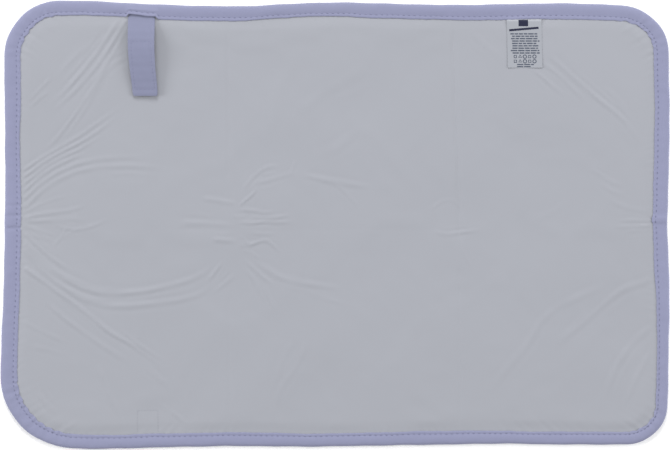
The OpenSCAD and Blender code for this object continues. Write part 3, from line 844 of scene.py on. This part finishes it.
for name, sx, sy, middle, end in QUADS:
    o = wadding_quarter(f"wadding.{name}", sx, sy)
    bend(o)
    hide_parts(*panels("wadding", name))

# ---------------------------------------------------------------- the binding
# The folded tape's section: distance in from the outline, and height. Its stitches lie in the groove.
GROOVE, GROOVE_TOP_Z, GROOVE_LOW_Z = 10.05, 4.62, 0.28
LOOP = np.array([
    # above
    (0.0, 2.5), (0.12, 3.25), (0.55, 4.0), (1.3, 4.6), (2.4, 5.0), (3.8, 5.2), (5.4, 5.25), (6.9, 5.15),
    (8.2, 4.95), (9.1, 4.78), (9.7, 4.66), (GROOVE, GROOVE_TOP_Z), (10.4, 4.64), (10.9, 4.74), (11.6, 4.8),
    (12.3, 4.78), (12.8, 4.62), (13.05, 4.36), (12.9, 4.14),
    # inside, round the pad's edge
    (9.0, 3.98), (3.0, 4.05), (1.5, 3.5), (1.2, 2.5), (1.5, 1.5), (3.0, 0.98), (9.0, 0.9),
    # below
    (12.9, 0.62), (13.0, 0.42), (12.7, 0.22), (12.0, 0.12), (11.0, 0.1), (10.4, 0.2), (GROOVE, GROOVE_LOW_Z),
    (9.7, 0.2), (8.4, 0.08), (5.4, 0.04), (3.2, 0.16), (1.6, 0.5), (0.6, 1.1), (0.12, 1.8),
])
# The stitches' number round the rim and their pitch, which is about 4.9 mm.
COUNT = int(round(ROUND / 4.9))
PITCH = ROUND / COUNT
# Where round the rim the tape's ends are joined.
JOIN_G = LENGTH[1, 1] - 5.4
# Between which places along X the strap and the label are sewn under the tape.
STRAP_SEWN, LABEL_SEWN = (-190.5, -157.5), (153.0, 189.0)


def binding_section(sx, sy, s):
    """The tape's section points at places s along a quarter's rim."""
    s = np.asarray(s, float)[:, None]
    px, py, nx, ny = rim(sx, sy, s)
    g, corner = along(sx, sy, s), at_corner(sx, sy, s)
    u0 = LOOP[None, :, 0]
    u, z = u0 + 0 * s, LOOP[None, :, 1] + 0 * s
    upper = smooth((z - 2.2) / 1.6)
    inner = smooth((u - 6) / 7)
    middle = upper * np.exp(-(((u - 5.5) / 4) ** 2))
    lip = smooth((u0 - 10.4) / 1.6)
    phase = 2 * math.pi * g / PITCH
    # the inner edge wanders, the tape puffs between its stitches, and it gathers at the corners
    wider = nx * nx * np.where(px < 0, left_width(py), right_width(py))
    wider = wider + ny * ny * np.where(py > 0, top_width(px), bottom_width(px))
    wider = wider + 0.28 * ripple(g, (19, 31, 47), 1) + 0.14 * ripple(g, (90, 121, 153), 2)
    u = u + inner * wider * smooth((u - 5) / 4)
    z = z - upper * np.exp(-(((u0 - GROOVE) / 0.55) ** 2)) * 0.035 * (1 + np.cos(phase))
    z = z + upper * smooth((u0 - 10.4) / 1.2) * 0.10 * np.cos(phase + 3.1)
    z = z + middle * (0.22 * ripple(g, (13, 29, 41, 66), 4) + 0.10 * ripple(g, (131, 177, 214), 5))
    z = z + upper * inner * corner * 0.30 * ripple(g, (181, 233, 270, 313), 6)
    z = z + middle * corner * 0.20 * ripple(g, (140, 190, 240), 7)
    u = u + (1 - inner) * 0.25 * ripple(g, (17, 37, 59), 8)
    scallop = np.abs(np.sin(math.pi * g / 12.7 + 0.9 * ripple(g, (21, 33), 14))) - 0.6
    u = u + lip * corner * (1.1 * scallop + 0.3 * ripple(g, (160, 205), 15))
    z = z - upper * lip * corner * 0.45 * scallop
    # it rides up over the strap's sewn end, and a little over the label's
    back = py > 150
    on_strap = between(px, *STRAP_SEWN, 4) * back
    z = z + upper * on_strap * (0.85 * smooth((u - 2) / 7) + 0.45 * lip)
    bare = between(px, STRAP_SEWN[0] + 2, STRAP_SEWN[1] - 2, 2.5) * back
    u = u - bare * smooth((u - 4) / 6) * (2.7 - 0.02 * (px + 186))
    on_label = between(px, *LABEL_SEWN, 4) * back
    z = z + upper * on_label * lip * 0.25
    # the overlapped and turned-under ends of the tape
    d = g - JOIN_G
    lump = smooth((d + 3.4) / 1.1) * (1 - smooth((d - 2.2) / 1.5))
    z = z + upper * lump * 0.55
    u = u + lump * inner * 1.1
    # faint creases where the half fold crosses the left side
    for at, deep, wide in ((-2.5, 0.55, 1.3), (9.0, 0.4, 1.2), (18.0, 0.3, 1.3)):
        z = z - upper * deep * np.exp(-(((g - LEFT_MIDDLE - at) / wide) ** 2)) * smooth(u / 3)
    return np.stack([*warp(px - nx * u, py - ny * u), z], -1)


def binding_quarter(name, sx, sy):
    """The tape round one quarter, rounded off about the half fold at its end."""
    length = LENGTH[sx, sy]
    s = np.linspace(0, length, int(round(length / 1.2)) + 1)
    rows = binding_section(sx, sy, np.concatenate([[-s[1]], s, [length + s[1]]]))
    normals = list(loft_normals(rows, -1 if sx * sy > 0 else 1))
    rows = list(rows[1:-1])
    last, last_normal = rows[-1], normals[-1]
    for k in range(1, 7):
        row, normal = rolled(last, last_normal, sy, k, 0.25, 0.06, 2)
        centre = row[:, 0].mean()
        row[:, 0] = centre + (row[:, 0] - centre) * (1 - 0.04 * min(1, k / 2))
        rows.append(row)
        normals.append(normal)
    way = -1 if sx * sy > 0 else 1
    return loft(name, np.array(rows)[:, ::way], np.array(normals)[:, ::way], binding_mat)


for name, sx, sy, middle, end in QUADS:
    o = binding_quarter(f"binding.{name}", sx, sy)
    bend(o)
    join = ["binding_join"] if name == "back_right" else []
    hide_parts(*panels("binding", name), *join)
    # every stitch of this quarter, above and below
    length = LENGTH[sx, sy]
    g = (np.arange(COUNT) + 0.5) * PITCH - START[sx, sy]
    s = g[(g >= 0) & (g < length)]
    s = np.clip(s if sx * sy > 0 else length - s, 2.0, length - 2.0)
    _, _, nx, ny = rim(sx, sy, s)
    for face, groove_z, up, lift in (("top", GROOVE_TOP_Z, 1, 0.13), ("under", GROOVE_LOW_Z, -1, 0.0)):
        which = int(np.argmin(np.hypot(LOOP[:, 0] - GROOVE, LOOP[:, 1] - groove_z)))
        at, before, after = (binding_section(sx, sy, s + d)[:, which] for d in (0.0, -1.0, 1.0))
        sway = np.random.default_rng(31 + which).normal(0, 0.12, len(s))
        at = at + np.stack([nx * sway, ny * sway, 0 * s + up * lift], -1)
        threads = f"binding_stitches_{face}.{name}"
        o = stitches(threads, at, after - before, up, 1.9, 0.24, thread_mat, sink=0.28)
        bend(o)
        if face == "top":
            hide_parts(*panels("binding_thread", name))

# ---------------------------------------------------------------- the strap
# The sleeve's height, its middle and its half width, by y.
strap_rise = eased([
    (110, 5.5), (118, 5.8), (126, 6.6), (136, 7.8), (148, 8.9), (158, 9.1), (168, 8.2), (176, 6.4),
    (182, 4.3), (186, 2.6), (188.5, 1.9), (198, 1.8),
], 1.6)
strap_mid = eased([
    (110, -170.6), (124, -171.4), (140, -173.4), (160, -174.8), (188, -174.6), (200, -174.6),
], 7)
strap_half = eased([(110, 11.2), (130, 11.5), (160, 12.1), (186, 12.2), (200, 12.2)], 8)
# The stitched rectangle: its front and back, and its half width.
HOOK_FRONT, HOOK_BACK, HOOK_HALF = 122.4, 165.3, 8.9
# Where the sleeve's second bend starts and ends.
TIP_BEND = ((0, 148.5 * MM, 0), (0, 136.5 * MM, 0))


def strap_top_z(u, y):
    """The height of the sleeve's face, u across it."""
    z = strap_rise(y) + 2.2 + 0.055 * u * smooth((186 - y) / 30)
    tape_edge = np.minimum(HOOK_HALF - np.abs(u), np.minimum(y - HOOK_FRONT, HOOK_BACK - y))
    z = z - 0.12 * np.exp(-((tape_edge / 0.7) ** 2)) + 0.08 * smooth(tape_edge / 2)
    # the folded edge on the right stands a little proud
    z = z + 0.14 * smooth((u - 8.6) / 0.8) - 0.10 * np.exp(-(((u - 8.7) / 0.5) ** 2))
    return z + 0.10 * np.sin(y * 0.33 + u * 0.21) * np.cos(u * 0.3 - 1.0) + 0.05 * np.sin(y * 0.9 + 2.0)


def strap_points(u, y, z):
    """The real places of points u across the strap."""
    return np.stack([strap_mid(y) + u, y + 0 * u, z], -1)


def strap_rows(y):
    """Closed sections of the folded sleeve at places y; its two folded edges are round."""
    y = y[:, None]
    a = np.linspace(-1, 1, 27)[None, :]
    tip = smooth((y - 116.6) / 2.2)
    u = strap_half(y) * np.sign(a) * (1 - (1 - np.abs(a)) ** 1.25) * (0.93 + 0.07 * tip)
    thick = (0.25 + 0.95 * (1 - (u / (strap_half(y) + 0.05)) ** 8)) * (0.45 + 0.55 * tip)
    middle = strap_top_z(u, y) - 0.5
    lower = strap_points(u, y, middle - 0.7 * thick)[:, ::-1]
    return np.concatenate([strap_points(u, y, middle + 0.5 * thick), lower[:, 1:-1]], axis=1)


stretches = (np.linspace(197.5, 180, 16), np.linspace(179, 158, 20), np.linspace(157, 117.4, 37))
ys = np.concatenate([[198.5], *stretches, [116.9, 116.6, 116.4]])
sleeve = strap_rows(ys)
sleeve_normals = loft_normals(sleeve, -1)
sleeve, ys = sleeve[1:-1], ys[1:-1]
first, second = (int(np.argmin(np.abs(ys - y))) for y in (180, 158))
ROOT_BEND, MIDDLE_BEND = ((0, 190 * MM, 0), (0, 184.5 * MM, 0)), ((0, 179.5 * MM, 0), (0, 167.5 * MM, 0))
for part, a, b, bodies, bend_places, nodes in (
    ("root", 0, first, ("back_left", "strap_root"), ROOT_BEND, ["strap_sewn_end", "strap_sleeve_root"]),
    ("middle", first, second, ("strap_root", "strap_middle"), MIDDLE_BEND, ["strap_sleeve_middle"]),
    ("tip", second, len(ys) - 1, ("strap_middle", "strap_tip"), TIP_BEND, ["strap_sleeve_tip"]),
):
    rows, normals = sleeve[a : b + 1, ::-1], sleeve_normals[a : b + 1, ::-1]
    o = loft(f"strap_sleeve.{part}", rows, normals, strap_mat, cap1=part == "tip")
    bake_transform(o)
    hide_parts(*nodes)


def hook_rows(y):
    """Closed sections of the hook tape under the sleeve."""
    y = y[:, None]
    u = np.linspace(-10, 10, 15)[None, :]
    base = strap_top_z(u, y) - 1.15
    lower = strap_points(u, y, base - 0.95 + 0.25 * (np.abs(u) / 10) ** 12)[:, ::-1]
    return np.concatenate([strap_points(u, y, base), lower], axis=1)


rows = hook_rows(np.linspace(HOOK_BACK + 1.9, HOOK_FRONT - 1.9, 40))
normals = loft_normals(rows, -1)
o = loft("hook_tape", rows[1:-1, ::-1], normals[:, ::-1], hook_mat, cap0=True, cap1=True)
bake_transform(o)
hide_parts("hook_tape_middle", "hook_tape_tip")

# one thread for each stitch of the rectangle, on the sleeve and on the tape
runs = []
for y in HOOK_FRONT + (np.arange(13) + 0.5) * (HOOK_BACK - HOOK_FRONT) / 13:
    runs += [(-HOOK_HALF, y, 0, 1), (HOOK_HALF, y, 0, 1)]
for u in -HOOK_HALF + (np.arange(5) + 0.5) * 2 * HOOK_HALF / 5:
    runs += [(u, HOOK_FRONT, 1, 0), (u, HOOK_BACK, 1, 0)]
u, y, du, dy = np.array(runs, float).T
z = strap_top_z(u, y)
way = np.stack([du, dy, strap_top_z(u + du, y + dy) - z], -1)
for face, up, lift in (("top", 1, 0.10), ("under", -1, -1.9)):
    o = stitches(f"strap_stitches_{face}", strap_points(u, y, z + lift), way, up, 1.5, 0.21, thread_mat)
    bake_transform(o)
    if face == "top":
        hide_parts("strap_thread_middle", "strap_thread_tip")


# ---------------------------------------------------------------- the loop patch
def pile_z(u, v):
    """The pile's face, below the pad: u and v from 0 to 1 over the patch."""
    edge = np.minimum(np.minimum(u, 1 - u), np.minimum(v, 1 - v))
    z = 0.08 + 0.35 * (1 - smooth(edge / 0.06)) + 0.10 * np.exp(-(((edge - 0.09) / 0.02) ** 2))
    return z + 0.05 * np.random.default_rng(4).random(u.shape)


m = 34
u, v = np.meshgrid(np.linspace(0, 1, m), np.linspace(0, 1, m), indexing="ij")
x0, x1, y0, y1 = -179.5, -158.5, -188.0, -165.5
px, py = warp(x0 + (x1 - x0) * u, y0 + (y1 - y0) * v)
points = np.concatenate([np.stack([px, py, z], -1).reshape(-1, 3) for z in (pile_z(u, v), 1.1 + 0 * u)])
faces = []
for i in range(m - 1):
    for j in range(m - 1):
        low = [a * m + b for a, b in cell(i, j)]
        faces += [[low[0], low[3], low[2], low[1]], [m * m + a for a in low]]
edge = [(i, 0) for i in range(m)] + [(m - 1, j) for j in range(1, m)]
edge += [(i, m - 1) for i in range(m - 2, -1, -1)] + [(0, j) for j in range(m - 2, 0, -1)]
ring = [i * m + j for i, j in edge]
faces += [(a, b, m * m + b, m * m + a) for a, b in zip(ring, ring[1:] + ring[:1])]
o = mesh_of("loop_patch", points, faces, None, loop_mat)
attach(o, "front_left")
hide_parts("loop_patch")

runs = [(x, y, 0, 1) for x in PATCH[:2] for y in np.arange(-185.2, -166.5, 2.55)]
runs += [(x, PATCH[3], 1, 0) for x in np.arange(-176.9, -160.2, 2.6)]
x, y, dx, dy = np.array(runs, float).T
way = np.stack([dx, dy, 0 * x], -1)
seen = lining_z(x, y) + 0.02
for face, up, z, thread in (("top", 1, seen, pale_thread_mat), ("under", -1, 0.1 + 0 * x, thread_mat)):
    at = np.stack([*warp(x, y), z], -1)
    o = stitches(f"patch_stitches_{face}", at, way, up, 1.3, 0.2, thread)
    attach(o, "front_left")
    if face == "top":
        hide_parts("loop_patch_thread")

# ---------------------------------------------------------------- the care label
LABEL_X, LABEL_HALF = 169.6, 15.6
LABEL_ROOT, LABEL_END = 186.5, 142.0


def label_z(u, y):
    """The height of the label's face, u across it; its lower corners lift a little."""
    down = np.clip((LABEL_ROOT - y) / (LABEL_ROOT - LABEL_END), -1, 1)
    z = 3.85 + 1.5 * smooth((187.2 - y) / 3.5) + 0.10 * np.sin(3.1 * down + 0.4)
    low = np.clip(down, 0, 1)
    z = z + 0.45 * low**4 * smooth((u + 6) / 22) + 0.6 * low**5 * smooth((-u - 3) / 12)
    return z + 0.06 * np.sin(u * 0.35 + y * 0.12)


def label_points(u, y, lift):
    """The real places of points u across the label."""
    return np.stack([LABEL_X + u + 0.02 * (LABEL_ROOT - y), y, label_z(u, y) + lift], -1)


ys = np.concatenate([[195.0], np.linspace(194, 188, 5), np.linspace(187, LABEL_END, 44), [LABEL_END - 0.4]])
y, u = np.meshgrid(ys, np.linspace(-LABEL_HALF, LABEL_HALF, 25), indexing="ij")
top = label_points(u, y, 0.0)
rows = np.concatenate([top, label_points(u, y, -0.28)[:, ::-1]], axis=1)
flat = grid_normals(top)[1:-1]
normals = np.concatenate([flat, -flat[:, ::-1]], axis=1)
o = loft("care_label", rows[1:-1, ::-1], normals[:, ::-1], label_mat, cap1=True)
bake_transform(o)
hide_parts("care_label", "care_label_sewn_end")

# The label's print is kept generic: a block, a bar, rows of dashes and plain outlines, with no lettering.
marks, mark_faces = [], []


def mark(points):
    """A flat printed shape from (across, down) points, just above the label."""
    a, b = np.array(points).T
    start = len(marks)
    marks.extend(label_points(a, LABEL_ROOT - 0.5 - b, 0.075))
    mark_faces.append(tuple(range(start, len(marks)))[::-1])


def bar(a, b, wide, high):
    """A plain bar, in stretches of about 2.5 mm that follow the label."""
    n = max(1, int(wide / 2.5))
    for k in range(n):
        l, r = a + wide * k / n, a + wide * (k + 1) / n
        mark([(l, b), (r, b), (r, b + high), (l, b + high)])


def outline(a, b, r, thin, sides, turn):
    """A plain outline with so many sides."""
    for k in range(sides):
        turns = [2 * math.pi * (k + i) / sides + turn for i in (0, 1)]
        (c0, s0), (c1, s1) = ((math.cos(t), math.sin(t)) for t in turns)
        corners = ((r, c0, s0), (r, c1, s1), (r - thin, c1, s1), (r - thin, c0, s0))
        mark([(a + out * c, b + out * s) for out, c, s in corners])


def dashes(b, a, end, high):
    """A row of plain dashes."""
    while end - a > 1.5:
        wide = min(rng.uniform(2.4, 6.0), end - a)
        bar(a, b, wide, high)
        a += wide + 0.75


def printed(name, ink):
    """The marks made so far, as one piece on the label."""
    o = mesh_of(name, marks, mark_faces, None, ink)
    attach(o, "care_label")
    marks.clear()
    mark_faces.clear()


rng = np.random.default_rng(12)
# the block and the slanted bar
for k in range(4):
    bar(-5.1, 0.9 + 1.45 * k, 8.6, 1.45)
for k in range(12):
    bar(-13.6 + 2.2 * k, 9.3 - 0.19 * k, 2.2, 1.9)
printed("care_label_print_dark", dark_print_mat)
for line in range(9):
    dashes(13.0 + 2.15 * line, -13.2 + rng.uniform(0, 2.4), 13.6 - rng.uniform(0, 2.2), 1.1)
SQUARE, TRIANGLE, CIRCLE = (4, math.pi / 4), (3, -math.pi / 2), (12, 0)
for row in range(2):
    for k, (sides, turn) in enumerate([SQUARE, TRIANGLE, CIRCLE, SQUARE, CIRCLE]):
        outline(-8.6 + 4.3 * k, 34.0 + 4.2 * row, 1.9, 0.75, sides, turn)
for line in range(2):
    dashes(40.6 + 1.9 * line, -8.0 + rng.uniform(0, 2), 8.5 - rng.uniform(0, 2), 1.0)
printed("care_label_print", print_mat)

# ---------------------------------------------------------------- the room
floor_mat = material("floor", (0.93, 0.93, 0.93), 0.9, spec=0.1)
floor_mat.node_tree.nodes["Principled BSDF"].inputs["Emission Color"].default_value = (1, 1, 1, 1)
floor_mat.node_tree.nodes["Principled BSDF"].inputs["Emission Strength"].default_value = 0.10
floor_mesh = bpy.data.meshes.new("floor")
floor_mesh.from_pydata([(-6, -6, 0), (6, -6, 0), (6, 6, 0), (-6, 6, 0)], [], [(0, 1, 2, 3)])
floor_mesh.materials.append(floor_mat)
floor = bpy.data.objects.new("floor", floor_mesh)
scene.collection.objects.link(floor)
floor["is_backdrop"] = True


def area_light(name, place, size, power):
    """A soft square lamp that points at the pad's middle."""
    d = bpy.data.lights.new(name, "AREA")
    d.shape, d.size, d.energy = "SQUARE", size, power
    o = bpy.data.objects.new(name, d)
    scene.collection.objects.link(o)
    o.visible_camera = False
    o.location = place
    o.rotation_mode = "QUATERNION"
    o.rotation_quaternion = (-Vector(place)).to_track_quat("-Z", "Y")


area_light("top", (-0.4, 3.6, 2.4), 1.8, 120)
area_light("left", (-3.6, 0.2, 1.45), 1.5, 89)
area_light("right", (3.4, 0.2, 1.7), 2.4, 84)
world = bpy.data.worlds.new("studio")
world.use_nodes = True
world.node_tree.nodes["Background"].inputs["Color"].default_value = (1, 1, 1, 1)
world.node_tree.nodes["Background"].inputs["Strength"].default_value = 0.60
scene.world = world
scene.view_settings.view_transform = "Standard"
scene.view_settings.look = "None"
scene.view_settings.exposure = 0
scene.view_settings.gamma = 1

# The camera looks straight down, and a long lens keeps the outline square.
cam_data = bpy.data.cameras.new("camera")
cam_data.lens, cam_data.sensor_width = 180, 36
cam_data.clip_start, cam_data.clip_end = 0.1, 30
cam = bpy.data.objects.new("camera", cam_data)
scene.collection.objects.link(cam)
cam.location = (-0.0005, 0.0005, 3.019)
scene.camera = cam

low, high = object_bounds()
